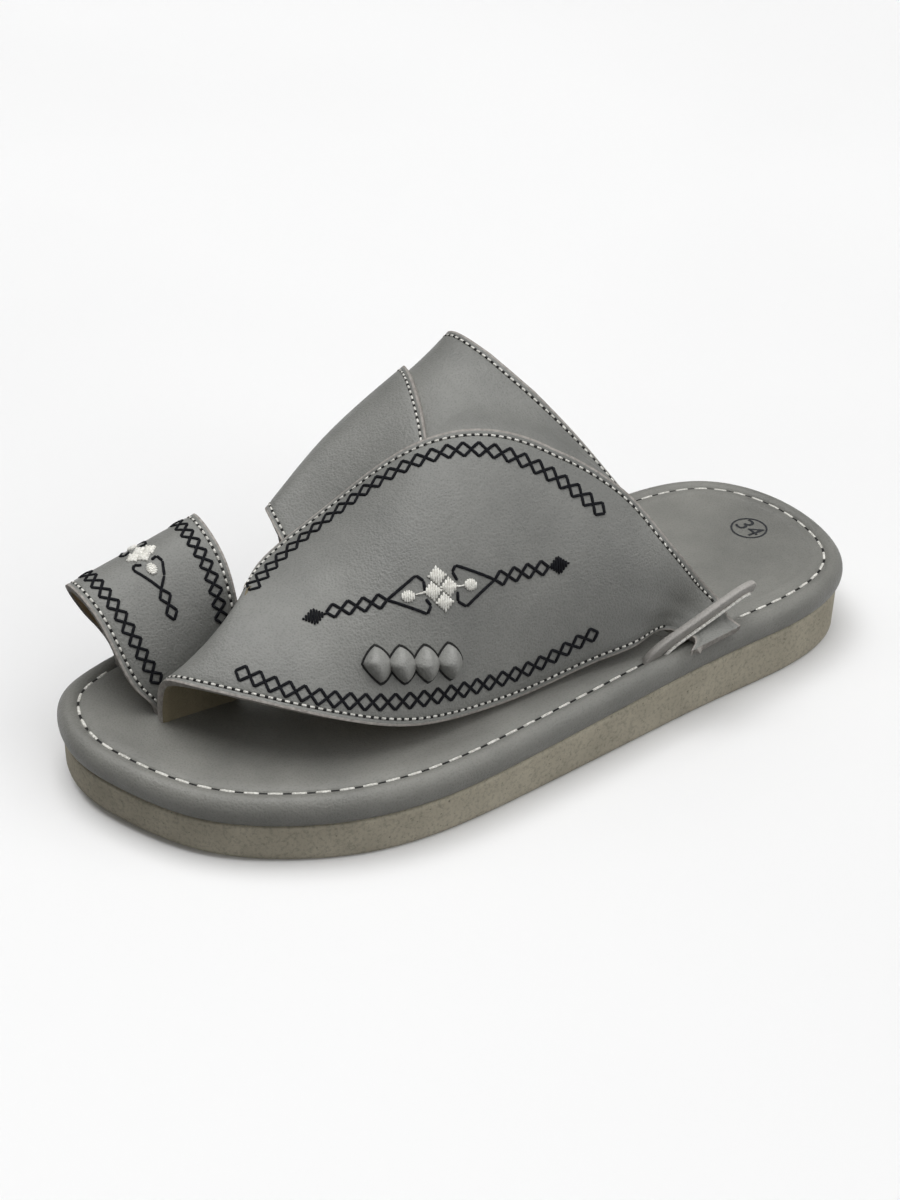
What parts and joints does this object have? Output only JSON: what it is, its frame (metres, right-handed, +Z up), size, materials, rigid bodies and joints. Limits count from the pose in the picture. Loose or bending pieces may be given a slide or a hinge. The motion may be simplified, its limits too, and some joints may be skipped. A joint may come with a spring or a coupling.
{
  "type": "toe-loop slipper",
  "caption": "Flat leather slipper for the left foot with a leaf-shaped vamp panel, crossed instep straps and a separate loop round the big toe.",
  "frame": {"origin": "on the floor, at the middle of the sole's length and of its width across the ball axis", "axes": "+Z up, the toe points to -Y, the outer side of the foot is +X"},
  "size_m": [0.0971, 0.23, 0.0905],
  "materials": {
    "foam": "matt beige micro-cellular foam with a ground edge",
    "leather": "soft grey leather with a low sheen"
  },
  "bodies": {
    "root": {"outsole": "foam", "footbed": "leather", "upper": "leather", "toe_loop": "leather", "ear_lateral": "leather", "ear_medial": "leather", "lozenge_chain": "leather"}
  },
  "joints": []
}
